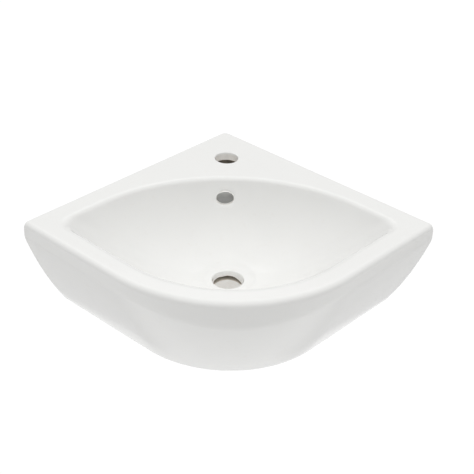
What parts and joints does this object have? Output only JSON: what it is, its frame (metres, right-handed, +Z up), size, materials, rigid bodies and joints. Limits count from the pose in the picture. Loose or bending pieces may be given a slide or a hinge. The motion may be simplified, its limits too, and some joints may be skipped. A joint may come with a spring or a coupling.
{
  "type": "corner basin",
  "caption": "Wall-hung corner hand basin in white glazed china with a lens-shaped bowl, tap hole, overflow and waste hole, and the screw sets that fix it to two walls.",
  "frame": {"origin": "on the waste outlet's axis at the underside of the boss round it", "axes": "+Z up along the waste axis; +Y towards the corner where the two walls meet, so each wall is at 45 degrees to X and Y; +X along the tip-to-tip width, to the right of someone standing at the basin"},
  "size_m": [0.564, 0.4717, 0.153],
  "materials": {
    "glazed_china": "gloss",
    "zinc_plated_steel": "zinc plated",
    "white_bush_plastic": "moulded",
    "grey_nylon": "moulded"
  },
  "bodies": {
    "root": {"ceramic_basin": "glazed_china", "right_coach_screw": "zinc_plated_steel", "right_washer": "zinc_plated_steel", "right_flanged_bush": "white_bush_plastic", "right_wall_plug": "grey_nylon", "left_coach_screw": "zinc_plated_steel", "left_washer": "zinc_plated_steel", "left_flanged_bush": "white_bush_plastic", "left_wall_plug": "grey_nylon"}
  },
  "joints": []
}
